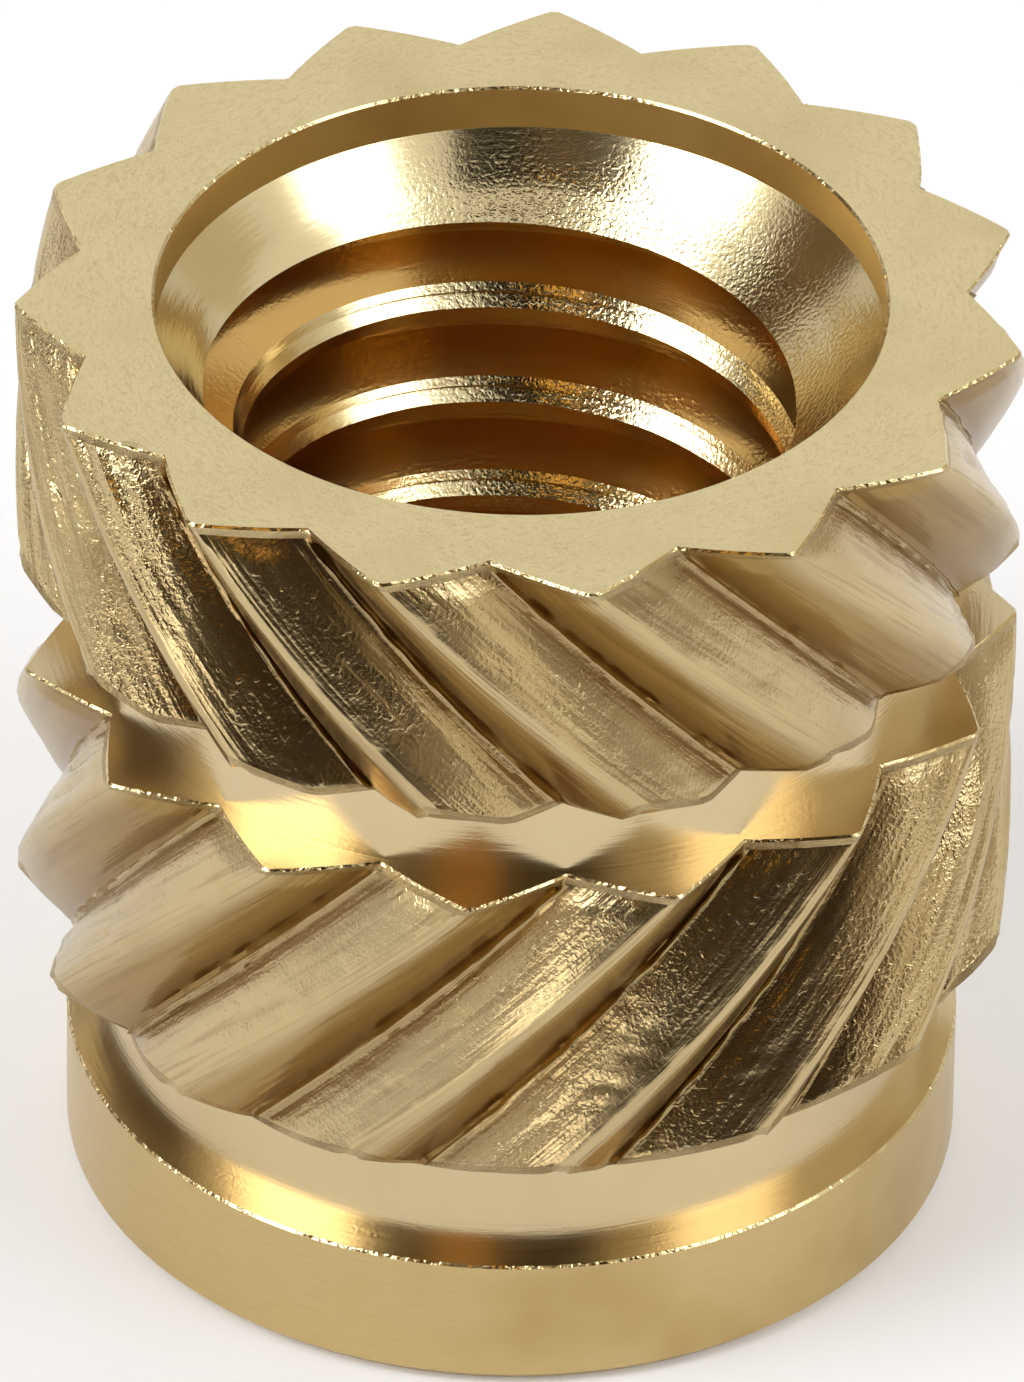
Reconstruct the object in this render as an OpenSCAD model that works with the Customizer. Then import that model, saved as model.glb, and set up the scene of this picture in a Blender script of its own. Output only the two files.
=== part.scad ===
// Knurled and tapped insert, turned from one bar: a plain pilot, two bands of
// teeth with opposite helices, a plain groove between them and a tapped bore.
// Origin: centre of the pilot's end face. +Z runs along the bore to its mouth.

/* [Overall] */
// Overall length
insert_len = 6.1; // [5.4:0.1:9.0]
// Diameter over the crests of the teeth
crest_d = 6.0; // [5.8:0.1:6.6]

/* [Pilot] */
// Diameter of the plain pilot
pilot_d = 5.42; // [5.2:0.02:5.6]
// Length of the plain pilot
pilot_len = 0.9; // [0.6:0.1:1.4]
// Chamfer on the pilot's end edge
pilot_chamfer = 0.08; // [0.04:0.02:0.2]

/* [Grooves] */
// Diameter of the neck above the pilot
neck_d = 5.08; // [4.8:0.02:5.1]
// Length of the neck
neck_len = 0.6; // [0.3:0.1:1.0]
// Diameter of the groove between the bands
groove_d = 5.24; // [5.0:0.02:5.26]
// Length of the groove
groove_len = 0.53; // [0.3:0.01:0.8]

/* [Knurl] */
// Number of teeth around each band
teeth = 15; // [12:1:18]
// Depth of a tooth, from crest to valley
tooth_depth = 0.34; // [0.2:0.01:0.36]
// Width of the land left on a crest
crest_land = 0.14; // [0.06:0.02:0.2]
// Helix angle of the teeth at the crest, from the bore axis
helix_angle = 45; // [20:1:50]
// Length of the lower band, its lead chamfer included
lower_band_len = 2.3; // [1.6:0.1:2.6]
// Angle of the lower band's lead chamfer, from the end plane
lead_angle = 38; // [25:1:55]
// Width of the chamfer under the upper band, across the teeth
under_chamfer = 0.16; // [0.04:0.02:0.3]
// Angle of that chamfer, from the end plane
under_angle = 45; // [20:1:60]
// Direction of one crest at the lower band's shoulder
lower_phase = 0.9; // [0:0.1:24]
// Direction of one crest at the top face
upper_phase = 14.5; // [0:0.1:24]

/* [Bore] */
// Diameter at the crests of the thread
minor_d = 3.3; // [3.0:0.05:3.4]
// Diameter at the roots of the thread
root_d = 4.0; // [3.6:0.05:4.2]
// Diameter of the mouth
mouth_d = 4.35; // [4.25:0.05:4.6]
// Depth of the mouth's straight wall
mouth_depth = 0.3; // [0.1:0.05:0.6]
// Included angle of the countersink below the mouth
countersink_angle = 90; // [60:5:120]
// Included angle of the bore's chamfer at the pilot end
exit_angle = 90; // [60:5:120]

/* [Hidden] */

// Faces on a full circle where a curve is drawn with facets
$fn = 96;
// Layers in each band's twist, for each turn of one tooth pitch
layers_per_pitch = 8;
// How far a cutting tool runs past the face that it opens
cut_over = 0.5;

crest_r = crest_d / 2;
valley_r = crest_r - tooth_depth;
pitch_angle = 360 / teeth;
// Half of the angle that a crest's land covers
land_angle = asin(crest_land / 2 / crest_r);
// Turn of the teeth for each millimetre along the axis
turn_per_mm = tan(helix_angle) * 180 / (PI * crest_r);

neck_top = pilot_len + neck_len;
lower_band_top = neck_top + lower_band_len;
upper_band_bottom = lower_band_top + groove_len;
upper_band_len = insert_len - upper_band_bottom;

function on_circle(r, a) = [r * cos(a), r * sin(a)];

// Height of a cone between two radii, from its included angle
function cone_len(r_wide, r_narrow, angle) = (r_wide - r_narrow) / tan(angle / 2);

// Section across the teeth: on each, a land at the crest and a sharp valley
module tooth_section() {
    polygon([
        for (i = [0:teeth - 1])
            let (a = i * pitch_angle)
            each [
                on_circle(crest_r, a - land_angle),
                on_circle(crest_r, a + land_angle),
                on_circle(valley_r, a + pitch_angle / 2)
            ]
    ]);
}

// Helical teeth from z = 0 up, with one crest at top_phase on the top face.
// hand = 1 leans the teeth clockwise on the way up, and -1 the other way.
module teeth_run(len, hand, top_phase) {
    turn = turn_per_mm * len;
    rotate(top_phase + hand * turn)
        linear_extrude(
            height = len,
            twist = hand * turn,
            slices = ceil(layers_per_pitch * turn / pitch_angle)
        )
            tooth_section();
}

// Solid of revolution that leaves a band of teeth with a chamfered lower end.
// The chamfer starts at start_r on the end plane and runs out past the crests.
module end_chamfer(len, start_r, angle) {
    outer_r = crest_r + cut_over;
    rotate_extrude()
        polygon([
            [0, 0],
            [start_r, 0],
            [outer_r, (outer_r - start_r) * tan(angle)],
            [outer_r, len + cut_over],
            [0, len + cut_over]
        ]);
}

// Lower band, cut back from the neck to the crests by its lead chamfer
module lower_band() {
    translate([0, 0, neck_top])
        intersection() {
            teeth_run(lower_band_len, -1, lower_phase);
            end_chamfer(lower_band_len, neck_d / 2, lead_angle);
        }
}

// Upper band, with its under edge chamfered and its top edge sharp
module upper_band() {
    translate([0, 0, upper_band_bottom])
        intersection() {
            teeth_run(upper_band_len, 1, upper_phase);
            end_chamfer(upper_band_len, crest_r - under_chamfer, under_angle);
        }
}

// Turned body: pilot, neck and groove, running on into both bands
module turned_core() {
    overlap = min(lower_band_len, upper_band_len) / 2;
    rotate_extrude()
        polygon([
            [0, 0],
            [pilot_d / 2 - pilot_chamfer, 0],
            [pilot_d / 2, pilot_chamfer],
            [pilot_d / 2, pilot_len],
            [neck_d / 2, pilot_len],
            [neck_d / 2, lower_band_top - overlap],
            [groove_d / 2, lower_band_top - overlap],
            [groove_d / 2, upper_band_bottom + overlap],
            [0, upper_band_bottom + overlap]
        ]);
}

// Space of the bore: exit chamfer, drilled wall, countersink and mouth
module bore_space() {
    exit_len = cone_len(root_d / 2, minor_d / 2, exit_angle);
    countersink_len = cone_len(mouth_d / 2, minor_d / 2, countersink_angle);
    mouth_floor = insert_len - mouth_depth;
    rotate_extrude()
        polygon([
            [0, -cut_over],
            [root_d / 2, -cut_over],
            [root_d / 2, 0],
            [minor_d / 2, exit_len],
            [minor_d / 2, mouth_floor - countersink_len],
            [mouth_d / 2, mouth_floor],
            [mouth_d / 2, insert_len + cut_over],
            [0, insert_len + cut_over]
        ]);
}

module insert_body() {
    color("#C9AE74")
        difference() {
            union() {
                turned_core();
                lower_band();
                upper_band();
            }
            bore_space();
        }
}

insert_body();
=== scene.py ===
"""Looks of the knurled and tapped brass insert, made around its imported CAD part.

The whole skin is one closed mesh made of strips. Each strip joins two lines that run round
the part. A Geometry Nodes tree works out those lines from the part's sizes, repeats the
teeth, tears their flanks, and cuts the thread with a tap that it also makes.
"""

import logging
import math
from dataclasses import dataclass, fields
from enum import Enum

import bpy
from mathutils import Matrix, Vector


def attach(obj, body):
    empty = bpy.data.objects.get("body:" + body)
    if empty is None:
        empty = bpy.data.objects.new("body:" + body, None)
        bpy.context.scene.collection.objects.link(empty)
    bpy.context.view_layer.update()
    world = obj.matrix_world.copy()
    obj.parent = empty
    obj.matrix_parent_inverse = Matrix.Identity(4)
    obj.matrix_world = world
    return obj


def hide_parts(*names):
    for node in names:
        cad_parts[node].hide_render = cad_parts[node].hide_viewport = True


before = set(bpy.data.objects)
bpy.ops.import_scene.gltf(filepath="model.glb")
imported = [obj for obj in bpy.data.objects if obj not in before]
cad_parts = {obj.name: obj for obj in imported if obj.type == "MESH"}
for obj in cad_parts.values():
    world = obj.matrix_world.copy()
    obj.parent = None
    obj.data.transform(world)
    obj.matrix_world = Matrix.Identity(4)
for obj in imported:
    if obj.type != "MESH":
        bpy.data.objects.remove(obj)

MM = 0.001
FULL_TURN = 2 * math.pi
log = logging.getLogger("insert")

Tree = bpy.types.NodeTree
Socket = bpy.types.NodeSocket
Value = Socket | float | int | bool | str | tuple | bpy.types.Material | None
Known = dict[str, Value]
Steps = dict[str, str]

# Kinds of node that are used most
VECTOR = "ShaderNodeVectorMath"
SPLIT = "ShaderNodeSeparateXYZ"
COMBINE = "ShaderNodeCombineXYZ"
NOISE = "ShaderNodeTexNoise"
POSITION = "GeometryNodeInputPosition"
# Signs between the terms of a step, to Blender's name for the operation
SIGNS = {"+": "ADD", "-": "SUBTRACT", "*": "MULTIPLY", "/": "DIVIDE", "* +": "MULTIPLY_ADD"}

# Spacing in millimetres of the patterns that every finish has
CHIP_MM = 0.036
DRIFT_MM = 0.55
TARNISH_MM = 0.9
# Radius at which marks round the axis have their true length
RING_RADIUS = 2.5 * MM
# Height between the two bands of teeth
BETWEEN_BANDS = 4.0 * MM

# What the knurling wheels left on the teeth: spacings, the longer ones along the teeth
RIDGE_GAP, RIDGE_RUN = 0.10 * MM, 3.5 * MM
WAVE_GAP, WAVE_RUN = 0.2 * MM, 4.0 * MM
PIT_SIZE, NICK_SIZE, TORN_PATCH = 0.07 * MM, 0.16 * MM, 0.8 * MM
# and how far it stands out of the flank, or below it where it is negative
RIDGE_CUT, RIDGE_RISE = -0.014 * MM, 0.006 * MM
WAVE_CUT, WAVE_RISE = -0.008 * MM, 0.006 * MM
PIT_DEPTH, NICK_DEPTH = -0.017 * MM, -0.012 * MM
SEAM_LOW, SEAM_HIGH = 0.034 * MM, 0.064 * MM
# Flanks fill out below a band's edge, over this length. Their hump is a quarter high, hence
# the 4
FILLING, FILLING_RUN = 4 * 0.026 * MM, 0.22 * MM
# Lengths of the two bands' flanks, and the shift that gives the lower band its own wear
UPPER_FLANK, LOWER_FLANK, LOWER_SHIFT = 2.5 * MM, 3.0 * MM, 7 * MM
# How far the columns of a flank crowd towards its crest and its valley
CROWDING = -0.07
# Points closer than this are one point
MERGE_GAP = 0.0008 * MM

# An edge is crisp past this angle on the thread, and past this much more outside its reach
CRISP_ANGLE, OUTSIDE_MORE = math.radians(16), math.radians(22)
THREAD_REACH = 2.1 * MM
# Share of a burr above which a face is all burr
WHOLE_BURR = 0.75

# Coil that cuts the thread: faces in one turn, and how many times over it grows in a turn
COIL_COLUMNS, RUN_IN = 96.0, 4.0
# Folded crest of the thread, from the bore's wall
BROW_OUT, LIP_OUT, FOLD_IN = 0.055 * MM, 0.02 * MM, 0.03 * MM
LIP_WIDTH = 0.045 * MM


# How high the grain and the marks of a finish stand
GRAIN_STEPS: Steps = {
    # Grain stands up in specks, with chips here and there on the torn flanks
    "chips": "RANGE chip 0.68 0.78 0 1.2",
    "chipped": "RANGE torn 0.05 0.25",
    "fine_specks": "RANGE grain 0.42 0.72",
    "specks": "chips * chipped + fine_specks",
    # It comes and goes over the surface
    "patchy": "RANGE drift 0.38 0.66 calm 1",
    # The wheels have torn the upper band more at the left, and the lower at the right
    "ragged": "RANGE torn -0.05 0.2 0.12 1",
    "under": f"{BETWEEN_BANDS} - z",
    "hand": "SIGN under",
    "beside": "x * hand",
    "torn_more": f"RANGE beside {1.8 * MM} {2.4 * MM} 1 2.8",
    "torn_share": "ragged * torn_more",
    # The countersink has chattered on one side only, and more where it is narrow
    "side": f"RANGE x {-0.9 * MM} {-0.3 * MM} 0.05 1",
    "narrow": f"RANGE z {5.78 * MM} {5.45 * MM} 0.25 1",
    "chatter": "side * narrow",
    # Marks on the knurl are shallower where the flanks are smooth
    "drawn_share": "RANGE torn -0.05 0.2 0.45 1",
    "drawn_where": "patchy * drawn_share",
}

# Where a finish is tarnished, and where painted shading darkens the knurl's valleys and the flanks that face
# down
TARNISH_AND_SHADING_STEPS: Steps = {
    # Tarnish lies in soft patches a millimetre or so across
    "patches": "RANGE patch 0.5 0.8 0 stain_share",
    # Painted shading darkens the valleys of the knurl, off their seams, standing in for the shadow that falls
    # in them
    "reach": "ABSOLUTE torn",
    "deep": "RANGE reach 0.5 0.93 0 0.55",
    "off_seam": "RANGE reach 0.975 0.935",
    "valley": "deep * off_seam",
    # Tarnished patches together with the painted valley shading
    "laid": "MAXIMUM patches valley",
    # The deepest marks are tarnished too
    "lines": "RANGE marks 0.5 0.36 0 lined",
    # Tarnished patches and marks, together with the painted valley shading
    "tarnish": "MAXIMUM laid lines",
    # Painted shading: the knurl's flanks that face down get a darker colour, standing in for the shadow that
    # they lie in
    "down": "RANGE torn -0.03 -0.3",
}


def add(
    tree: Tree, kind: str, inputs: dict[str | int, Value] | None = None, **settings: object
) -> bpy.types.Node:
    """Adds one node, with its settings, links and values.

    Args:
        tree: Tree that takes the node.
        kind: Blender's name for the kind of node.
        inputs: An input's identifier or place, to the socket that feeds it or to its own value.
        **settings: Properties of the node.

    Returns:
        The new node.
    """
    made = tree.nodes.new(kind)
    for name, setting in settings.items():
        setattr(made, name, setting)
    for key, value in (inputs or {}).items():
        place = key if isinstance(key, int) else [socket.identifier for socket in made.inputs].index(key)
        socket = made.inputs[place]
        if isinstance(value, bpy.types.NodeSocket):
            tree.links.new(value, socket)
        else:
            socket.default_value = value
    return made


def open_tree(name: str, kinds: dict[str, str]) -> tuple[Tree, Known]:
    """Opens a Geometry Nodes tree that makes a mesh from named inputs.

    Args:
        name: The tree's name.
        kinds: The name of each input, to the kind of value that it takes.

    Returns:
        The tree, and its inputs by name.
    """
    tree = bpy.data.node_groups.new(name, "GeometryNodeTree")
    for key, kind in kinds.items():
        tree.interface.new_socket(key, in_out="INPUT", socket_type=f"NodeSocket{kind}")
    tree.interface.new_socket("Mesh", in_out="OUTPUT", socket_type="NodeSocketGeometry")
    given = add(tree, "NodeGroupInput").outputs
    return tree, {key: given[key] for key in kinds}


def work_out(tree: Tree, known: Known, steps: Steps) -> None:
    """Works out values step by step, with one node a step.

    Args:
        tree: Tree that takes the nodes.
        known: Values by name. It takes each step's result under the step's name.
        steps: For each new name one operation on numbers and known names, such as "a * b + c"
            or "SINE a". RANGE carries a value from one range to another, by default 0 to 1.
    """
    for name, step in steps.items():
        words = step.split()
        operation, terms = SIGNS.get(" ".join(words[1::2])), words[::2]
        if operation is None:
            operation, *terms = words
        feeds = {i: known[term] if term in known else float(term) for i, term in enumerate(terms)}
        if operation == "RANGE":
            made = add(tree, "ShaderNodeMapRange", feeds)
        else:
            made = add(tree, "ShaderNodeMath", feeds, operation=operation)
        known[name] = made.outputs[0]


def off_axis(tree: Tree, place: Socket) -> tuple[Socket, Socket]:
    """Measures how a place lies off the bore's axis.

    Args:
        tree: Tree that takes the nodes.
        place: The place.

    Returns:
        The place without its height, and its distance from the axis.
    """
    flat = add(tree, VECTOR, {0: place, 1: (1.0, 1.0, 0.0)}, operation="MULTIPLY").outputs[0]
    return flat, add(tree, VECTOR, {0: flat}, operation="LENGTH").outputs["Value"]


def linear(colour: str) -> tuple[float, float, float, float]:
    """Turns an sRGB hex colour to the linear values that shaders take.

    Args:
        colour: The colour, such as "#CDBE91".

    Returns:
        Red, green, blue and a full alpha.
    """
    parts = [int(colour[i : i + 2], 16) / 255 for i in (1, 3, 5)]
    return (*(p / 12.92 if p <= 0.04045 else ((p + 0.055) / 1.055) ** 2.4 for p in parts), 1.0)


class Cut(Enum):
    """How a surface of the insert was made."""

    TURNED = "turned"
    GROOVED = "grooved"
    FACED = "faced"
    KNURLED = "knurled"
    COUNTERSUNK = "countersunk"
    TAPPED = "tapped"
    BURRED = "burred"
    BORED = "bored"


Brass = dict[Cut, bpy.types.Material]


@dataclass(frozen=True)
class BrassFinish:
    """Free-cutting brass, as one way of cutting leaves it.

    Attributes:
        cut: How the surface was made.
        colour: Colour of the clean metal.
        stain: Colour of tarnished metal, also used for the painted shading in the knurl's valleys.
        stain_share: How strongly the tarnished patches show, from 0 to 1.
        roughness: Roughness between the marks.
        streak: How far fine tool marks spread the shine across themselves, from 0 to 1.
        grain_mm: Size and depth of the torn grain.
        marks_mm: Spacing and depth of the tool's marks.
        stretch: Length of a mark over its width.
        calm: Depth of the grain in calm patches, as a share of the full depth.
        lined: How strongly the deepest marks are tarnished, from 0 to 1.
        painted_down_shading: Darker colour painted on the knurl's flanks that face down, standing in for the
            shadow on them, where a finish has one.
    """

    cut: Cut
    colour: str
    stain: str
    stain_share: float
    roughness: float
    streak: float
    grain_mm: tuple[float, float]
    marks_mm: tuple[float, float]
    stretch: float
    calm: float = 0.12
    lined: float = 0.0
    painted_down_shading: str = ""

    def patterns(self, tree: Tree) -> dict[str, Value]:
        """Lays the patterns of the metal on the insert's own coordinates.

        Args:
            tree: The material's tree.

        Returns:
            The patterns and the places that they follow, by name.
        """
        place = add(tree, "ShaderNodeTexCoord").outputs["Object"]
        parts = add(tree, SPLIT, {0: place}).outputs
        radius = off_axis(tree, place)[1]
        torn = add(tree, "ShaderNodeAttribute", attribute_name="torn").outputs["Fac"]
        known: Known = {"x": parts[0], "y": parts[1], "z": parts[2], "torn": torn}
        # Tool marks follow the cut: round the axis on turned metal, along the teeth on the knurl
        work_out(tree, known, {"turn": "ARCTAN2 y x", "arc": f"turn * {RING_RADIUS}"})
        ring = add(tree, COMBINE, {0: radius, 1: known["arc"], 2: parts[2]}).outputs[0]
        lay = add(tree, "ShaderNodeAttribute", attribute_name="lay").outputs["Vector"]
        path = lay if self.cut is Cut.KNURLED else ring
        shorter = (1.0, 1 / self.stretch, 1.0)
        drawn = add(tree, VECTOR, {0: path, 1: shorter}, operation="MULTIPLY").outputs[0]
        for name, where, spacing, detail in (
            ("marks", drawn, self.marks_mm[0], 2.0),
            ("grain", place, self.grain_mm[0], 1.0),
            ("chip", place, CHIP_MM, 0.0),
            ("drift", place, DRIFT_MM, 2.0),
            ("patch", place, TARNISH_MM, 2.0),
        ):
            feeds = {"Vector": where, "Scale": 1 / (spacing * MM), "Detail": detail}
            known[name] = add(tree, NOISE, feeds).outputs["Fac"]
        return known

    def relief(self, tree: Tree, known: Known) -> Socket:
        """Raises the tool marks and the torn grain.

        Args:
            tree: The material's tree.
            known: The patterns by name.

        Returns:
            The normal of the raised surface.
        """
        known["calm"] = self.calm
        work_out(tree, known, GRAIN_STEPS)
        # Where the grain shows: everywhere, but for two ways of cutting
        share = {Cut.KNURLED: "torn_share", Cut.COUNTERSUNK: "chatter"}.get(self.cut, 1.0)
        drawn = "drawn_where" if self.cut is Cut.KNURLED else 1.0
        steps = {
            "where": f"patchy * {share}",
            "grain_height": "where * specks",
            "mark_height": f"marks * {drawn}",
        }
        work_out(tree, known, steps)
        marked = {"Strength": 1.0, "Distance": self.marks_mm[1] * MM, "Height": known["mark_height"]}
        first = add(tree, "ShaderNodeBump", marked).outputs[0]
        grained = {"Strength": 1.0, "Distance": self.grain_mm[1] * MM, "Height": known["grain_height"]}
        return add(tree, "ShaderNodeBump", {**grained, "Normal": first}).outputs[0]

    def tint(self, tree: Tree, known: Known) -> Socket:
        """Colours the metal, its tarnished patches and marks, and the painted shading on the knurl.

        Args:
            tree: The material's tree.
            known: The patterns by name.

        Returns:
            The colour.
        """
        known |= {"stain_share": self.stain_share, "lined": self.lined}
        work_out(tree, known, TARNISH_AND_SHADING_STEPS)
        # Painted shading: a darker colour on the knurl's flanks that face down
        painted_down_shading = linear(self.painted_down_shading or self.colour)
        flanks = {"Factor_Float": known["down"], "A_Color": linear(self.colour), "B_Color": painted_down_shading}
        clean = add(tree, "ShaderNodeMix", flanks, data_type="RGBA").outputs["Result"]
        # Tarnished patches and marks take the tarnished colour, and so does the painted shading in the
        # knurl's valleys
        mixed = {"Factor_Float": known["tarnish"], "A_Color": clean, "B_Color": linear(self.stain)}
        return add(tree, "ShaderNodeMix", mixed, data_type="RGBA").outputs["Result"]

    def material(self) -> bpy.types.Material:
        """Makes the procedural material for this finish.

        Returns:
            The material, named for the way of cutting.
        """
        made = bpy.data.materials.new(f"{self.cut.value}_brass")
        made.use_nodes = True
        tree = made.node_tree
        tree.nodes.clear()
        known = self.patterns(tree)
        round_axis = add(tree, "ShaderNodeTangent", direction_type="RADIAL", axis="Z").outputs[0]
        shader = add(
            tree,
            "ShaderNodeBsdfPrincipled",
            {
                "Base Color": self.tint(tree, known),
                "Metallic": 1.0,
                "Roughness": self.roughness,
                "Anisotropic": self.streak,
                # A quarter turn lays the streaks round the axis
                "Anisotropic Rotation": 0.25,
                "Tangent": round_axis,
                "Normal": self.relief(tree, known),
            },
        ).outputs[0]
        add(tree, "ShaderNodeOutputMaterial", {"Surface": shader})
        return made


FINISHES = (
    # A nose tool turns the pilot, and leaves fine rings and specks
    BrassFinish(
        cut=Cut.TURNED, colour="#CCB47F", stain="#A0793A", stain_share=0.45, roughness=0.28, streak=0.5,
        grain_mm=(0.024, 0.0016), marks_mm=(0.024, 0.0026), stretch=12.0, calm=0.4, lined=0.08,
    ),
    # A form tool plunges the grooves and burnishes them
    BrassFinish(
        cut=Cut.GROOVED, colour="#D6C298", stain="#B08E4C", stain_share=0.20, roughness=0.22, streak=0.5,
        grain_mm=(0.030, 0.0004), marks_mm=(0.028, 0.0016), stretch=16.0,
    ),
    # The end is faced at low speed: almost matt, with short scratches. Paler colour: painted light on the top
    # face
    BrassFinish(
        cut=Cut.FACED, colour="#EAD8A4", stain="#A88446", stain_share=0.25, roughness=0.34, streak=0.0,
        grain_mm=(0.022, 0.0026), marks_mm=(0.020, 0.0026), stretch=2.5, calm=0.7, lined=0.16,
    ),
    # The knurl is pressed and torn: smooth on the crests, ragged on the flanks that face up
    BrassFinish(
        cut=Cut.KNURLED, colour="#C8B385", stain="#7E5F32", stain_share=0.30, roughness=0.22, streak=0.0,
        grain_mm=(0.026, 0.0012), marks_mm=(0.050, 0.0100), stretch=24.0, calm=0.35, lined=0.30,
        # Darker colour painted on the flanks that face down, standing in for the shadow on them
        painted_down_shading="#A68951",
    ),
    # The countersink has chattered, which leaves coarse bright grain
    BrassFinish(
        cut=Cut.COUNTERSUNK, colour="#E2CF9E", stain="#A07A3C", stain_share=0.10, roughness=0.16, streak=0.0,
        grain_mm=(0.026, 0.0019), marks_mm=(0.030, 0.0010), stretch=9.0, calm=0.5,
    ),
    # The tap burnishes the flanks and leaves fine lines along the thread
    BrassFinish(
        cut=Cut.TAPPED, colour="#D8AE66", stain="#8E6A34", stain_share=0.15, roughness=0.18, streak=0.3,
        grain_mm=(0.030, 0.0010), marks_mm=(0.030, 0.0010), stretch=10.0,
    ),
    # Burrs on the cut edges are fresh metal, bent this way and that
    BrassFinish(
        cut=Cut.BURRED, colour="#DCC692", stain="#B99C5E", stain_share=0.50, roughness=0.20, streak=0.0,
        grain_mm=(0.045, 0.0110), marks_mm=(0.060, 0.0060), stretch=3.0, calm=0.05,
    ),
    # The mouth is bored with a worn tool, which leaves it almost matt
    BrassFinish(
        cut=Cut.BORED, colour="#E4CA88", stain="#A0793A", stain_share=0.40, roughness=0.50, streak=0.0,
        grain_mm=(0.030, 0.0012), marks_mm=(0.040, 0.0040), stretch=0.08, calm=0.5,
    ),
)

# Lines of the teeth at each column, from the sizes and the shares of the way round and along,
# which are "u" and "v"
TOOTH_STEPS: Steps = {
    # Place on a tooth: lean is -0.5 and 0.5 in the valleys and 0 on the crest
    "around": "u * teeth",
    "whole": "FLOOR around",
    "part": "around - whole",
    "lean": "part - 0.5",
    "side": "SIGN lean",
    "size": "ABSOLUTE lean",
    "share": "size * 2",
    "land_share": "2 / columns",
    "flank_share": "1 - land_share",
    "past_land": "share - land_share",
    "flank_raw": "past_land / flank_share",
    "flank_even": "MAXIMUM flank_raw 0",
    "flank_round": f"flank_even * {FULL_TURN}",
    "flank_sine": "SINE flank_round",
    "flank": f"flank_sine * {CROWDING} + flank_even",
    "on_land_raw": "share / land_share",
    "on_land": "MINIMUM on_land_raw 1",
    # Straight flank from the land's edge to the valley
    "pitch": f"{FULL_TURN} / teeth",
    "half_pitch": "pitch / 2",
    "land_y": "crest_land / 2",
    "land_sine": "land_y / crest_radius",
    "land_angle": "ARCSINE land_sine",
    "land_cosine": "COSINE land_angle",
    "land_x": "crest_radius * land_cosine",
    "valley_cosine": "COSINE half_pitch",
    "valley_sine": "SINE half_pitch",
    "valley_x": "valley_radius * valley_cosine",
    "valley_y": "valley_radius * valley_sine",
    "run_x": "valley_x - land_x",
    "run_y": "valley_y - land_y",
    "x_flat": "flank * run_x + land_x",
    "y_flat": "flank * run_y + land_y",
    # The flank is full: it bulges across itself
    "crest": "1 - flank",
    "hump": "flank * crest",
    "bulge": "hump * flank_bulge",
    "x": "bulge * run_y + x_flat",
    "bulge_back": "bulge * run_x",
    "y": "y_flat - bulge_back",
    "x_square": "x * x",
    "rim_square": "y * y + x_square",
    "rim": "SQRT rim_square",
    "swing_raw": "ARCTAN2 y x",
    "swing_land": "swing_raw * on_land",
    "swing": "swing_land * side",
    "tooth_turn": "whole * pitch + swing",
    # Upper band, from the top face down to its chamfered under edge
    "turn_top": "tooth_turn + top_turn",
    "past_under": "rim - under_radius",
    "over_under": "MAXIMUM past_under 0",
    "z_under": "over_under * under_slope + upper_foot",
    "upper_run": "top_height - z_under",
    "turn_under": "upper_run * turn_per_metre + turn_top",
    "under_rim": "MINIMUM rim under_radius",
    # Lower band, from its shoulder down to the lead chamfer
    "turn_shoulder": "tooth_turn + shoulder_turn",
    "past_neck": "rim - neck_radius",
    "z_lead": "past_neck * lead_slope + neck_height",
    "lower_run": "shoulder_height - z_lead",
    "lower_twist": "lower_run * turn_per_metre",
    "turn_lead": "turn_shoulder - lower_twist",
    # Broken edges, where burrs stand
    "mouth_lip": "mouth_radius + edge_break",
    "mouth_edge": "top_height - edge_break",
    "rim_lip": "rim - edge_break",
    "shoulder_edge": "shoulder_height - edge_break",
    "pilot_lip": "pilot_radius - edge_break",
    "pilot_edge": "pilot_height - edge_break",
    # Inner edge of the pilot's chamfer
    "pilot_face": "pilot_radius - pilot_chamfer",
    "ring_columns": "teeth * columns",
    # Place across and along the teeth, for what follows them
    "tooth_width": "pitch * crest_radius",
    "lay_across": "around * tooth_width",
    "upper_along": f"v * {UPPER_FLANK}",
    "lower_along": f"v * {LOWER_FLANK}",
    "upper_torn": "flank * side",
    "lower_torn": "upper_torn * -1",
}

# How far each point of the skin moves out or in
TEAR_STEPS: Steps = {
    # Ridges run along the teeth, pits lie between them in patches
    "ridges": f"RANGE ridge 0.3 0.7 {RIDGE_CUT} {RIDGE_RISE}",
    "pits": f"RANGE pit 0.55 0.8 0 {PIT_DEPTH}",
    "patches": "RANGE patch 0.42 0.62 0.2 1",
    "rag": "RANGE torn 0.05 0.3",
    # The wheels have torn the two sides more than the front and the back
    "beside": "ABSOLUTE x",
    "torn_more": f"RANGE beside {2.1 * MM} {2.7 * MM} 0.8 4.2",
    "ragged": "ridges * torn_more + pits",
    "patched": "ragged * patches",
    "rough": "patched * rag",
    # The flanks that face down are smooth, with long soft waves
    "waves": f"RANGE wave 0.3 0.7 {WAVE_CUT} {WAVE_RISE}",
    "smooth": "RANGE torn -0.1 -0.4",
    "wavy": "waves * smooth + rough",
    # Below the edge of the band the flanks fill out
    "below": f"RANGE along 0 {FILLING_RUN}",
    "down": "1 - crest",
    "hump": "down * crest",
    "full": "hump * below",
    "filled": f"full * {FILLING} + wavy",
    # A thin ragged seam stands up along each valley, where two cuts of the knurl meet
    "reach": "ABSOLUTE torn",
    "seam": "RANGE reach 0.94 1",
    "seam_height": f"RANGE nick 0.35 0.65 {SEAM_LOW} {SEAM_HIGH}",
    "seamed": "seam_height * seam + filled",
    # The crests are nicked, so that they wander a little
    "top": "RANGE crest 0.9 1",
    "nicks": f"RANGE nick 0.50 0.8 0 {NICK_DEPTH}",
    "depth": "nicks * top + seamed",
}

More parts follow.
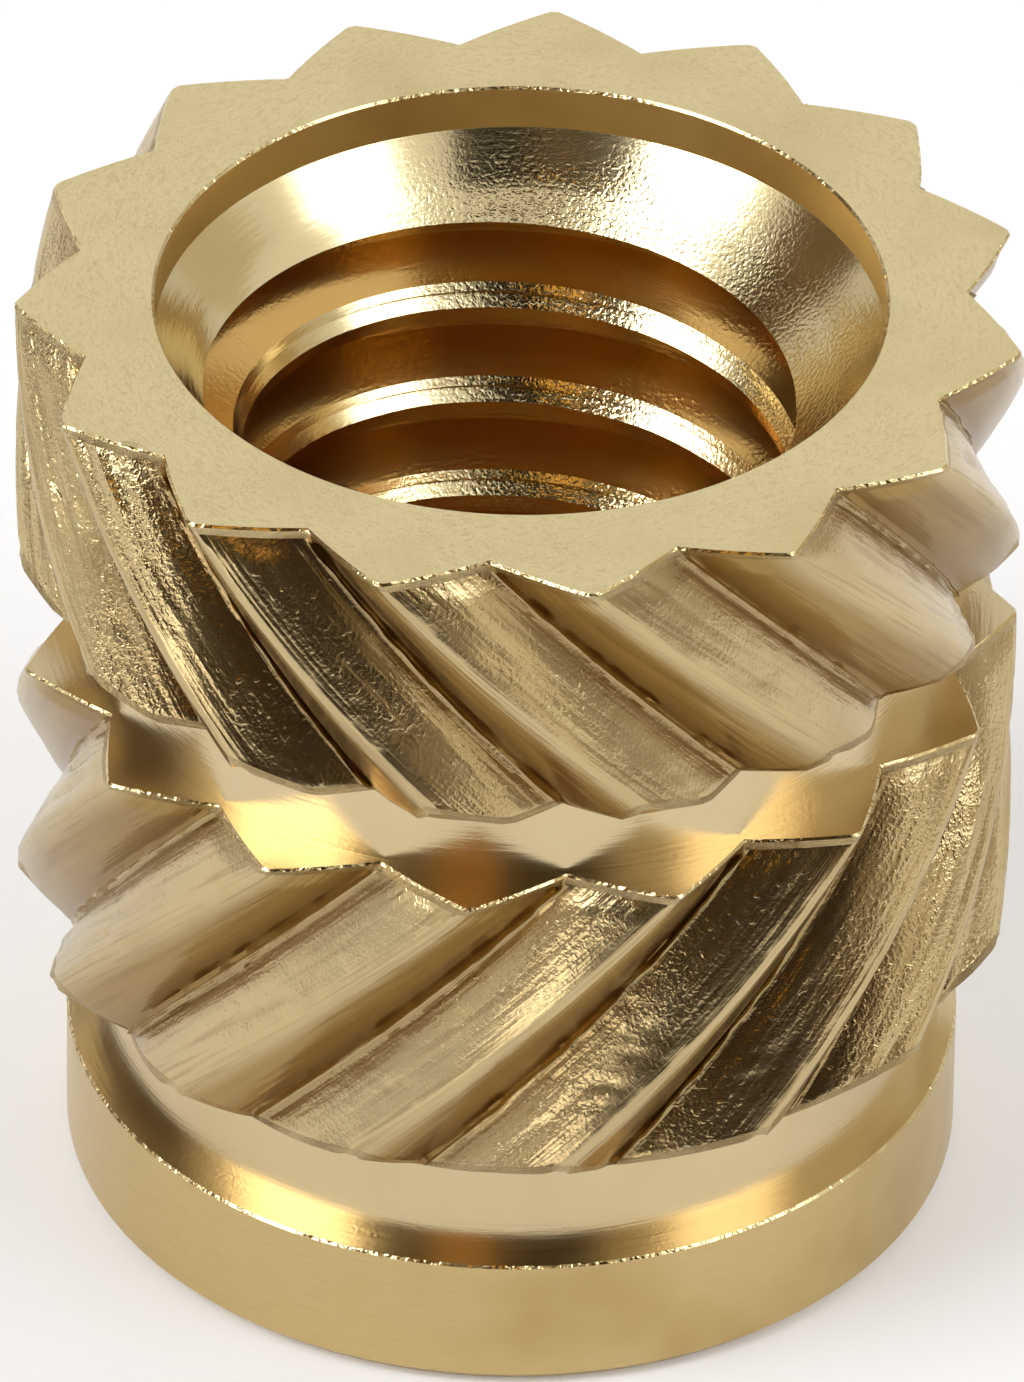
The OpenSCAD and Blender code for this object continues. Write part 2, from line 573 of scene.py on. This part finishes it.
# Helix of the tap, and section of the space that it cuts
THREAD_STEPS: Steps = {
    "tap_angle": f"tap_turns * {FULL_TURN}",
    "tap_height": "tap_turns * tap_lead",
    "coil_turn": "u * tap_angle",
    "coil_rise": "u * tap_height",
    "coil_z": "coil_rise + tap_start",
    "coil_columns": f"tap_turns * {COIL_COLUMNS}",
    # The coil runs out to nothing in the open air past both ends of the bore
    "from_end": "1 - u",
    "nearer": "MINIMUM u from_end",
    "turns_in": "nearer * tap_turns",
    "grown_raw": f"turns_in * {RUN_IN}",
    "grown": "MINIMUM grown_raw 1",
    # Straight flanks from the root, the upper one on into the core's air
    "tip_depth": "tap_radius - tap_core",
    "core_wide": "tip_depth * tap_slope + tap_tip",
    # The lower one ends in the folded crest: a brow, a lip, a seam and a fold
    "brow_out": f"bore_radius + {BROW_OUT}",
    "brow_drop": "tap_radius - brow_out",
    "brow_wide": "brow_drop * tap_slope + tap_tip",
    "lip_out": f"bore_radius + {LIP_OUT}",
    "lip_wide": f"brow_wide + {LIP_WIDTH}",
    "seam_out": "bore_radius + seam_depth",
    "seam_wide": "lip_wide + seam_width",
    "fold_out": f"bore_radius - {FOLD_IN}",
    "fold_wide": "seam_wide + fold_width",
}


@dataclass
class InsertSkin:
    """The insert's whole skin, from its sizes in metres and its angles in radians.

    Every field becomes a named input of the Geometry Nodes tree. A height runs up from the
    pilot's end, and a slope is a rise over its run.
    """

    # Teeth: columns of faces on each, width of the land, and how full a flank is
    teeth: int = 15
    columns: int = 30
    crest_radius: float = 3.0 * MM
    valley_radius: float = 2.66 * MM
    crest_land: float = 0.05 * MM
    flank_bulge: float = 0.08
    turn_per_metre: float = math.tan(math.radians(45)) / (3.0 * MM)
    # Upper band: direction of one crest at the top face, lower edge, and the groove below
    top_height: float = 6.09 * MM
    top_turn: float = math.radians(14.5)
    upper_foot: float = 4.33 * MM
    under_radius: float = 2.84 * MM
    under_slope: float = 1.0
    groove_radius: float = 2.62 * MM
    # Lower band: direction of a crest at its shoulder, two teeth on so that the groove's strips
    # don't twist, then lead chamfer, neck and pilot
    shoulder_height: float = 3.8 * MM
    shoulder_turn: float = math.radians(0.9 + 48)
    neck_radius: float = 2.54 * MM
    neck_height: float = 1.5 * MM
    lead_slope: float = math.tan(math.radians(38))
    pilot_radius: float = 2.71 * MM
    pilot_height: float = 0.9 * MM
    pilot_chamfer: float = 0.08 * MM
    # Width of the broken edges, where burrs stand
    edge_break: float = 0.015 * MM
    # Bore from its mouth down, with one line part of the way down the countersink
    mouth_radius: float = 2.175 * MM
    mouth_floor: float = 5.8 * MM
    bore_radius: float = 1.65 * MM
    bore_top: float = 5.275 * MM
    sink_radius: float = 1.93 * MM
    sink_height: float = 5.53 * MM
    exit_radius: float = 2.0 * MM
    exit_depth: float = 0.35 * MM
    # Tap: roots, core in open air, half a root's width, slope of a flank, and folded crest
    tap_radius: float = 2.0 * MM
    tap_core: float = 1.5 * MM
    tap_tip: float = 0.044 * MM
    tap_slope: float = math.tan(math.radians(30))
    seam_depth: float = 0.075 * MM
    seam_width: float = 0.022 * MM
    fold_width: float = 0.12 * MM
    tap_lead: float = 0.7 * MM
    tap_start: float = -1.275 * MM
    tap_turns: float = 10.5

    def strip_tree(self) -> Tree:
        """Makes the tree for one strip of skin between two lines that run round the part.

        Returns:
            The tree. Its lines are given by radius, turn and height at each column.
        """
        numbers = ("r0", "a0", "z0", "burr0", "r1", "a1", "z1", "burr1", "torn", "crest")
        kinds = {"lay": "Vector", "columns": "Int", "rows": "Int", "finish": "Material"}
        tree, known = open_tree("skin_strip", dict.fromkeys(numbers, "Float") | kinds)
        spot = add(tree, POSITION).outputs[0]
        known["down"] = add(tree, SPLIT, {0: spot}).outputs[1]
        steps = {
            "across": "columns + 1",
            "along": "rows + 1",
            "share": "down + 0.5",
            # A burr keeps to the row of faces beside its line
            "past": "share * rows",
            "ahead": "rows - past",
            "near0": "RANGE past 1 0",
            "near1": "RANGE ahead 1 0",
            "first": "near0 * burr0",
            "last": "near1 * burr1",
            "burr": "MAXIMUM first last",
        }
        work_out(tree, known, steps)
        sizes = {0: 1.0, 1: 1.0, 2: known["across"], 3: known["along"]}
        marked = add(tree, "GeometryNodeMeshGrid", sizes).outputs[0]
        for name in ("torn", "crest", "burr", "lay"):
            kind = "FLOAT_VECTOR" if name == "lay" else "FLOAT"
            value = {"Geometry": marked, "Name": name, "Value": known[name]}
            marked = add(tree, "GeometryNodeStoreNamedAttribute", value, data_type=kind).outputs[0]
        for part in "raz":
            ends = {"A_Float": known[f"{part}0"], "B_Float": known[f"{part}1"]}
            known[part] = add(tree, "ShaderNodeMix", {"Factor_Float": known["share"], **ends}).outputs[0]
        turned = {"Vector": add(tree, COMBINE, {0: known["r"]}).outputs[0], "Angle": known["a"]}
        spun = add(tree, "ShaderNodeVectorRotate", turned, rotation_type="Z_AXIS").outputs[0]
        lift = add(tree, COMBINE, {2: known["z"]}).outputs[0]
        place = add(tree, VECTOR, {0: spun, 1: lift}, operation="ADD").outputs[0]
        moved = add(tree, "GeometryNodeSetPosition", {"Geometry": marked, "Position": place}).outputs[0]
        dressed = {"Geometry": moved, "Material": known["finish"]}
        add(tree, "NodeGroupOutput", {0: add(tree, "GeometryNodeSetMaterial", dressed).outputs[0]})
        return tree

    def tree(self, finishes: Brass) -> Tree:
        """Makes the tree of the whole skin.

        Args:
            finishes: The material for each way of cutting.

        Returns:
            The tree, with its sizes as named inputs.
        """
        sizes = {size.name: getattr(self, size.name) for size in fields(self)}
        kinds = {name: "Int" if isinstance(size, int) else "Float" for name, size in sizes.items()}
        tree, known = open_tree("insert_skin", kinds)
        spot = add(tree, POSITION).outputs[0]
        middle = add(tree, VECTOR, {0: spot, 1: (0.5, 0.5, 0.0)}, operation="ADD").outputs[0]
        parts = add(tree, SPLIT, {0: middle}).outputs
        known["u"], known["v"] = parts[0], parts[1]
        work_out(tree, known, TOOTH_STEPS)
        lay = {0: known["lay_across"], 1: known["upper_along"]}
        upper = {"torn": known["upper_torn"], "crest": known["crest"]}
        upper["lay"] = add(tree, COMBINE, lay).outputs[0]
        lay = {0: known["lay_across"], 1: known["lower_along"], 2: LOWER_SHIFT}
        lower = {"torn": known["lower_torn"], "crest": known["crest"]}
        lower["lay"] = add(tree, COMBINE, lay).outputs[0]
        # Each strip: rows, finish, the line where it starts with its burr, and marks. It ends
        # where the next one starts
        strips = (
            (1, Cut.FACED, ("mouth_radius", "turn_top", "mouth_edge", 1.0), {}),
            (5, Cut.FACED, ("mouth_lip", "turn_top", "top_height", 1.0), {}),
            (1, Cut.FACED, ("rim_lip", "turn_top", "top_height", 1.0), {}),
            (46, Cut.KNURLED, ("rim", "turn_top", "mouth_edge", 1.0), upper),
            (2, Cut.GROOVED, ("rim", "turn_under", "z_under", 0.0), {}),
            (2, Cut.GROOVED, ("under_rim", "turn_under", "upper_foot", 0.0), {}),
            (3, Cut.GROOVED, ("groove_radius", "turn_under", "upper_foot", 0.0), {}),
            (3, Cut.GROOVED, ("groove_radius", "turn_shoulder", "shoulder_height", 0.0), {}),
            (1, Cut.GROOVED, ("rim_lip", "turn_shoulder", "shoulder_height", 1.0), {}),
            (57, Cut.KNURLED, ("rim", "turn_shoulder", "shoulder_edge", 1.0), lower),
            (5, Cut.GROOVED, ("rim", "turn_lead", "z_lead", 0.0), {}),
            (3, Cut.GROOVED, ("neck_radius", "turn_lead", "neck_height", 0.0), {}),
            (3, Cut.GROOVED, ("neck_radius", "turn_lead", "pilot_height", 0.0), {}),
            (1, Cut.TURNED, ("pilot_lip", "turn_lead", "pilot_height", 1.0), {}),
            (4, Cut.TURNED, ("pilot_radius", "turn_lead", "pilot_edge", 1.0), {}),
            (1, Cut.TURNED, ("pilot_radius", "turn_lead", "pilot_chamfer", 0.0), {}),
            (3, Cut.FACED, ("pilot_face", "turn_lead", 0.0, 0.0), {}),
            (2, Cut.COUNTERSUNK, ("exit_radius", "turn_lead", 0.0, 0.0), {}),
            (1, Cut.TAPPED, ("bore_radius", "turn_lead", "exit_depth", 0.0), {}),
            (5, Cut.COUNTERSUNK, ("bore_radius", "turn_top", "bore_top", 0.0), {}),
            (5, Cut.COUNTERSUNK, ("sink_radius", "turn_top", "sink_height", 0.0), {}),
            (4, Cut.BORED, ("mouth_radius", "turn_top", "mouth_floor", 0.0), {}),
        )
        group = self.strip_tree()
        joined = self.join_strips(tree, group, known, strips, finishes, known["ring_columns"])
        tapped = self.cut_thread(tree, self.tear(tree, joined), known, group, finishes)
        add(tree, "NodeGroupOutput", {0: self.dress(tree, tapped, finishes[Cut.BURRED])})
        return tree

    def dress(self, tree: Tree, skin: Socket, burred: bpy.types.Material) -> Socket:
        """Shades the skin smooth between its edges, and gives the burrs their own finish.

        Args:
            tree: Tree that takes the nodes.
            skin: The skin with its thread.
            burred: The material of burrs.

        Returns:
            The finished skin.
        """
        known: Known = {"angle": add(tree, "GeometryNodeInputMeshEdgeAngle").outputs[0]}
        known["radius"] = off_axis(tree, add(tree, POSITION).outputs[0])[1]
        # Crisp edges on the thread, and softer ones outside
        steps = {
            "outside": f"GREATER_THAN radius {THREAD_REACH}",
            "limit": f"outside * {OUTSIDE_MORE} + {CRISP_ANGLE}",
        }
        work_out(tree, known, steps)
        bent = {"A": known["angle"], "B": known["limit"]}
        sharp = add(tree, "FunctionNodeCompare", bent, operation="GREATER_THAN").outputs[0]
        smooth = add(tree, "GeometryNodeSetShadeSmooth", {"Geometry": skin}).outputs[0]
        edges = {"Geometry": smooth, "Selection": sharp, "Shade Smooth": False}
        edged = add(tree, "GeometryNodeSetShadeSmooth", edges, domain="EDGE").outputs[0]
        plain = add(tree, "GeometryNodeRealizeInstances", {"Geometry": edged}).outputs[0]
        # Both lines of a broken edge carry the whole burr, and the faces beside it only half
        burr = add(tree, "GeometryNodeInputNamedAttribute", {"Name": "burr"}, data_type="FLOAT").outputs[0]
        whole = add(tree, "FunctionNodeCompare", {"A": burr, "B": WHOLE_BURR}, operation="GREATER_THAN")
        last = {"Geometry": plain, "Selection": whole.outputs[0], "Material": burred}
        return add(tree, "GeometryNodeSetMaterial", last).outputs[0]

    def join_strips(
        self, tree: Tree, group: Tree, known: Known, strips: tuple, finishes: Brass, columns: Value
    ) -> Socket:
        """Joins strips into one closed skin, each strip ending where the next one starts.

        Args:
            tree: Tree that takes the nodes.
            group: The tree of one strip.
            known: Sizes and lines by name.
            strips: For each strip its rows, its finish, its first line and its marks.
            finishes: The material for each way of cutting.
            columns: How many columns each strip has.

        Returns:
            The closed skin.
        """
        names = {item.identifier: item.name for item in group.interface.items_tree if item.in_out == "INPUT"}
        joined = add(tree, "GeometryNodeJoinGeometry")
        for place, (rows, cut, line, marks) in enumerate(strips):
            after = strips[(place + 1) % len(strips)][2]
            feeds = {**marks, "columns": columns, "rows": rows, "finish": finishes[cut]}
            for end, terms in ((0, line), (1, after)):
                feeds |= {f"{part}{end}": known.get(t, t) for part, t in zip(("r", "a", "z", "burr"), terms)}
            given = {key: feeds[name] for key, name in names.items() if name in feeds}
            strip = add(tree, "GeometryNodeGroup", given, node_tree=group)
            tree.links.new(strip.outputs[0], joined.inputs[0])
        open_skin = {"Geometry": joined.outputs[0], "Distance": MERGE_GAP}
        closed = add(tree, "GeometryNodeMergeByDistance", open_skin).outputs[0]
        return add(tree, "GeometryNodeFlipFaces", {"Mesh": closed}).outputs[0]

    def tear(self, tree: Tree, skin: Socket) -> Socket:
        """Tears the flanks that face up, as the knurling tool does.

        Args:
            tree: Tree that takes the nodes.
            skin: The closed skin.

        Returns:
            The torn skin.
        """
        spot = add(tree, POSITION).outputs[0]
        known: Known = {"x": add(tree, SPLIT, {0: spot}).outputs[0]}
        for name, kind in (("torn", "FLOAT"), ("crest", "FLOAT"), ("lay", "FLOAT_VECTOR")):
            mark = add(tree, "GeometryNodeInputNamedAttribute", {"Name": name}, data_type=kind)
            known[name] = mark.outputs[0]
        known["along"] = add(tree, SPLIT, {0: known["lay"]}).outputs[1]
        ridge_place, wave_place = (
            add(tree, VECTOR, {0: known["lay"], 1: (1 / gap, 1 / run, 1 / MM)}, operation="MULTIPLY")
            for gap, run in ((RIDGE_GAP, RIDGE_RUN), (WAVE_GAP, WAVE_RUN))
        )
        for name, place, scale, detail, roughness in (
            ("ridge", ridge_place.outputs[0], 1.0, 2.0, 0.5),
            ("wave", wave_place.outputs[0], 1.0, 1.0, 0.5),
            ("pit", spot, 1 / PIT_SIZE, 2.0, 0.6),
            ("patch", spot, 1 / TORN_PATCH, 2.0, 0.5),
            ("nick", spot, 1 / NICK_SIZE, 2.0, 0.5),
        ):
            feeds = {"Vector": place, "Scale": scale, "Detail": detail, "Roughness": roughness}
            known[name] = add(tree, NOISE, feeds).outputs[0]
        work_out(tree, known, TEAR_STEPS)
        normal = add(tree, "GeometryNodeInputNormal").outputs[0]
        offset = add(tree, VECTOR, {0: normal, "Scale": known["depth"]}, operation="SCALE").outputs[0]
        moved = add(tree, "GeometryNodeSetPosition", {"Geometry": skin, "Offset": offset}).outputs[0]
        return self.keep_inside(tree, moved)

    def keep_inside(self, tree: Tree, skin: Socket) -> Socket:
        """Brings back any point that has passed the crest circle or the top face.

        Args:
            tree: Tree that takes the nodes.
            skin: The skin.

        Returns:
            The skin, inside its own box.
        """
        spot = add(tree, POSITION).outputs[0]
        flat, radius = off_axis(tree, spot)
        known: Known = {"radius": radius}
        steps = {"ratio": f"{self.crest_radius} / radius", "share": "MINIMUM ratio 1.0"}
        work_out(tree, known, steps)
        inward = add(tree, VECTOR, {0: flat, "Scale": known["share"]}, operation="SCALE").outputs[0]
        height = {"Value": add(tree, SPLIT, {0: spot}).outputs[2], "Min": 0.0, "Max": self.top_height}
        lift = add(tree, COMBINE, {2: add(tree, "ShaderNodeClamp", height).outputs[0]}).outputs[0]
        place = add(tree, VECTOR, {0: inward, 1: lift}, operation="ADD").outputs[0]
        return add(tree, "GeometryNodeSetPosition", {"Geometry": skin, "Position": place}).outputs[0]

    def cut_thread(self, tree: Tree, skin: Socket, known: Known, group: Tree, finishes: Brass) -> Socket:
        """Makes the thread's space as one closed coil, and cuts it out of the bore.

        Args:
            tree: Tree that takes the nodes.
            skin: The closed skin.
            known: Sizes and lines by name.
            group: The tree of one strip.
            finishes: The material for each way of cutting.

        Returns:
            The skin with its thread.
        """
        steps: Steps = dict(THREAD_STEPS)
        points = {"tip": ("tap_radius", "tap_tip"), "core": ("tap_core", "core_wide")}
        points |= {name: (f"{name}_out", f"{name}_wide") for name in ("brow", "lip", "seam", "fold")}
        for name, (out, wide) in points.items():
            steps |= {
                f"{name}_gap": f"{out} - tap_core",
                f"{name}_radius": f"{name}_gap * grown + tap_core",
                f"{name}_half": f"{wide} * grown",
                f"{name}_low": f"coil_z - {name}_half",
                f"{name}_high": f"coil_z + {name}_half",
            }
        work_out(tree, known, steps)
        marks = {"lay": add(tree, COMBINE, {0: known["coil_turn"]}).outputs[0]}
        strips = tuple(
            (rows, cut, (f"{point}_radius", "coil_turn", f"{point}_{side}", 0.0), marks)
            for rows, cut, point, side in (
                (4, Cut.TAPPED, "core", "high"),
                (1, Cut.TAPPED, "tip", "high"),
                (4, Cut.TAPPED, "tip", "low"),
                (1, Cut.COUNTERSUNK, "brow", "low"),
                (1, Cut.COUNTERSUNK, "lip", "low"),
                (2, Cut.COUNTERSUNK, "seam", "low"),
                (2, Cut.TAPPED, "fold", "low"),
            )
        )
        coil = self.join_strips(tree, group, known, strips, finishes, known["coil_columns"])
        bodies = {"Mesh 1": skin, "Mesh 2": coil}
        cut = add(tree, "GeometryNodeMeshBoolean", bodies, operation="DIFFERENCE", solver="MANIFOLD")
        return cut.outputs[0]

    def build(self) -> bpy.types.Object:
        """Builds the skin as one plain mesh.

        Returns:
            The insert's visual body.
        """
        tree = self.tree({finish.cut: finish.material() for finish in FINISHES})
        blank = bpy.data.objects.new("insert_blank", bpy.data.meshes.new("insert_blank"))
        bpy.context.scene.collection.objects.link(blank)
        rule = blank.modifiers.new("skin", "NODES")
        rule.node_group = tree
        for item in tree.interface.items_tree:
            if item.in_out == "INPUT":
                rule[item.identifier] = getattr(self, item.name)
        blank.update_tag()
        depsgraph = bpy.context.evaluated_depsgraph_get()
        mesh = bpy.data.meshes.new_from_object(
            blank.evaluated_get(depsgraph), preserve_all_data_layers=True, depsgraph=depsgraph
        )
        blank.modifiers.clear()
        bpy.data.objects.remove(blank)
        mesh.name = "knurled_insert"
        if mesh.materials[0] is None:
            mesh.materials.pop(index=0)
        body = bpy.data.objects.new("knurled_insert", mesh)
        bpy.context.scene.collection.objects.link(body)
        log.info("%s: %d vertices, %d faces", body.name, len(mesh.vertices), len(mesh.polygons))
        return body


@dataclass
class Card:
    """One curved card of the light tent, seen from the insert.

    Attributes:
        name: The card's name.
        azimuth: First and last direction in degrees.
        elevation: Lowest and highest elevation in degrees.
        strength: Light that it gives, where 1 is white.
        colour: Colour of that light.
        distance: How far it stands from the insert, in metres.
        steps: Faces along each side of the card.
    """

    name: str
    azimuth: tuple[float, float]
    elevation: tuple[float, float]
    strength: float
    colour: str = "#FFFFFF"
    distance: float = 0.30
    steps: int = 12

    def build(self) -> bpy.types.Object:
        """Builds the card as part of a sphere round the insert.

        Returns:
            The card, which no camera ray sees.
        """
        around, up = (
            [math.radians(low + (high - low) * i / self.steps) for i in range(self.steps + 1)]
            for low, high in (self.azimuth, self.elevation)
        )
        verts = [
            Vector((math.cos(az) * math.cos(el), math.sin(az) * math.cos(el), math.sin(el))) * self.distance
            for el in up
            for az in around
        ]
        across = self.steps + 1
        firsts = (row * across + col for row in range(self.steps) for col in range(self.steps))
        faces = [(first, first + 1, first + across + 1, first + across) for first in firsts]
        mesh = bpy.data.meshes.new(self.name)
        mesh.from_pydata(verts, [], faces)
        card = bpy.data.objects.new(self.name, mesh)
        bpy.context.scene.collection.objects.link(card)
        paint = bpy.data.materials.new(f"{self.name}_card")
        paint.use_nodes = True
        tree = paint.node_tree
        tree.nodes.clear()
        light = {"Color": linear(self.colour), "Strength": self.strength}
        add(tree, "ShaderNodeOutputMaterial", {"Surface": add(tree, "ShaderNodeEmission", light).outputs[0]})
        paint.cycles.emission_sampling = "NONE"
        mesh.materials.append(paint)
        card.visible_camera = False
        return card


@dataclass
class Studio:
    """Pale floor, light tent and camera.

    Attributes:
        floor_size: Width of the floor, in metres.
        paper: Share of light that the floor's paper throws back.
        paper_glow: Light that the floor adds where the camera or bright metal sees it.
        horizon: Light of the tent's walls at the floor.
        overhead: Light of the walls from the height top_of_wall up.
        top_of_wall: That height, as the rise of the direction that a ray takes.
        fill: Light that the tent throws on matt surfaces.
        cards: The tent's cards.
        camera_distance: From the insert's foot to the camera, in metres.
        camera_elevation: Direction of the camera above the floor.
        camera_pitch: How far the camera looks down.
        camera_yaw: How far it looks to the right.
        camera_roll: How far it is rolled.
        lens: Focal length, in millimetres.
    """

    floor_size: float = 3.0
    paper: float = 0.84
    paper_glow: float = 0.16
    horizon: float = 0.7
    overhead: float = 1.1
    top_of_wall: float = 0.6
    fill: float = 1.3
    cards: tuple[Card, ...] = (
        Card("camera_side", (-134.0, -64.0), (9.0, 56.0), 1.0, "#352A1D"),
        Card("camera_foot", (-118.0, -64.0), (0.0, 9.0), 1.0, "#352A1D"),
        Card("lens", (-94.0, -68.0), (34.0, 52.0), 0.0, "#000000", 0.29),
        Card("warm_patch", (-111.0, -94.0), (32.0, 43.0), 1.3, "#EDB65C", 0.29),
        Card("right_painted_down_shading", (-64.0, -47.0), (0.0, 36.0), 1.0, "#8C7C65"),
        Card("right_near", (-48.0, -30.0), (0.0, 28.0), 1.2, "#ECE4D6"),
        Card("right_wall", (-30.0, -8.0), (0.0, 28.0), 1.0, "#A89D8B"),
        Card("right_far", (-8.0, 34.0), (0.0, 28.0), 1.0, "#CDC3B2"),
        Card("left_wall", (-172.0, -148.0), (9.0, 28.0), 0.95, "#FFF9F0"),
        Card("left_painted_down_shading", (-148.0, -134.0), (9.0, 28.0), 1.0, "#A2917A"),
        Card("left_foot", (-135.0, -118.0), (0.5, 10.0), 3.4, "#FFFBF4", 0.29),
        Card("back_left", (150.0, 182.0), (14.0, 31.0), 1.0, "#6A5642", 0.29),
        Card("back_left_high", (112.0, 172.0), (31.0, 50.0), 1.0, "#41301A", 0.29),
        Card("roof", (-180.0, 180.0), (66.0, 90.0), 1.0, "#70501F", 0.29),
        Card("left_softbox", (-170.0, -128.0), (28.0, 62.0), 6.0, "#F6F9FF", 0.31),
        Card("right_softbox", (-44.0, -10.0), (28.0, 56.0), 3.6, "#F6F9FF", 0.31),
    )
    camera_distance: float = 38.26 * 3.0 * MM
    camera_elevation: float = math.radians(37.937)
    camera_pitch: float = math.radians(36.664)
    camera_yaw: float = math.radians(-0.0135)
    camera_roll: float = math.radians(0.763)
    lens: float = 488.35

    def seen(self, tree: Tree) -> Socket:
        """Tells which rays come from the camera or off a bright surface.

        Args:
            tree: Tree that takes the nodes.

        Returns:
            1 for those rays, and 0 for those that light matt surfaces.
        """
        path = add(tree, "ShaderNodeLightPath").outputs
        known: Known = {kind: path[f"Is {kind} Ray"] for kind in ("Camera", "Glossy", "Transmission")}
        steps = {"bright": "MAXIMUM Camera Glossy", "seen": "MAXIMUM bright Transmission"}
        work_out(tree, known, steps)
        return known["seen"]

    def build_floor(self) -> None:
        """Lays a pale floor that keeps the insert's shadow."""
        half = self.floor_size / 2
        corners = [(-half, -half, 0), (half, -half, 0), (half, half, 0), (-half, half, 0)]
        mesh = bpy.data.meshes.new("floor")
        mesh.from_pydata(corners, [], [(0, 1, 2, 3)])
        floor = bpy.data.objects.new("floor", mesh)
        bpy.context.scene.collection.objects.link(floor)
        paint = bpy.data.materials.new("white_paper")
        paint.use_nodes = True
        tree = paint.node_tree
        tree.nodes.clear()
        known = {"seen": self.seen(tree)}
        work_out(tree, known, {"strength": f"seen * {self.paper_glow}"})
        grey = (self.paper, self.paper, self.paper, 1.0)
        paper = add(tree, "ShaderNodeBsdfDiffuse", {"Color": grey}).outputs[0]
        glow = add(tree, "ShaderNodeEmission", {"Strength": known["strength"]}).outputs[0]
        both = add(tree, "ShaderNodeAddShader", {0: paper, 1: glow}).outputs[0]
        add(tree, "ShaderNodeOutputMaterial", {"Surface": both})
        paint.cycles.emission_sampling = "NONE"
        mesh.materials.append(paint)

    def build_world(self) -> None:
        """Gives the tent's white walls, and the light that they throw on matt surfaces."""
        world = bpy.data.worlds.new("light_tent")
        bpy.context.scene.world = world
        world.use_nodes = True
        tree = world.node_tree
        tree.nodes.clear()
        way = add(tree, "ShaderNodeTexCoord").outputs["Generated"]
        known = {"height": add(tree, SPLIT, {0: way}).outputs[2]}
        steps = {"wall": f"RANGE height 0.0 {self.top_of_wall} {self.horizon} {self.overhead}"}
        work_out(tree, known, steps)
        shares = {"Factor_Float": self.seen(tree), "A_Float": self.fill, "B_Float": known["wall"]}
        light = {"Strength": add(tree, "ShaderNodeMix", shares).outputs[0]}
        add(tree, "ShaderNodeOutputWorld", {"Surface": add(tree, "ShaderNodeBackground", light).outputs[0]})

    def build_camera(self) -> None:
        """Puts the camera above the front of the insert, as a long lens sees it."""
        el, pitch, yaw, roll = self.camera_elevation, self.camera_pitch, self.camera_yaw, self.camera_roll
        ahead = Vector((math.sin(yaw) * math.cos(pitch), math.cos(yaw) * math.cos(pitch), -math.sin(pitch)))
        right = ahead.cross(Vector((0, 0, 1))).normalized()
        up = right.cross(ahead)
        right, up = right * math.cos(roll) + up * math.sin(roll), up * math.cos(roll) - right * math.sin(roll)
        data = bpy.data.cameras.new("camera")
        data.lens = self.lens
        data.clip_start, data.clip_end = 0.01, 10.0
        camera = bpy.data.objects.new("camera", data)
        bpy.context.scene.collection.objects.link(camera)
        turned = Matrix((right, up, -ahead)).transposed().to_4x4()
        spot = Vector((0, -math.cos(el), math.sin(el))) * self.camera_distance
        camera.matrix_world = Matrix.Translation(spot) @ turned
        bpy.context.scene.camera = camera

    def build(self) -> None:
        """Builds the floor, the light tent and the camera."""
        self.build_floor()
        self.build_world()
        for card in self.cards:
            card.build()
        self.build_camera()
        bpy.context.scene.view_settings.view_transform = "Standard"
        # Light bounces many times between the flanks of a bright thread
        bpy.context.scene.cycles.max_bounces = 7
        bpy.context.scene.cycles.glossy_bounces = 6
        log.info("studio: %d cards", len(self.cards))


def main() -> None:
    """Builds the insert and its studio, in order."""
    logging.basicConfig(level=logging.INFO, format="%(message)s")
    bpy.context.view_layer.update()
    body = InsertSkin().build()
    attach(body, "root")
    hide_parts("insert_body")
    Studio().build()


if __name__ == "__main__":
    main()
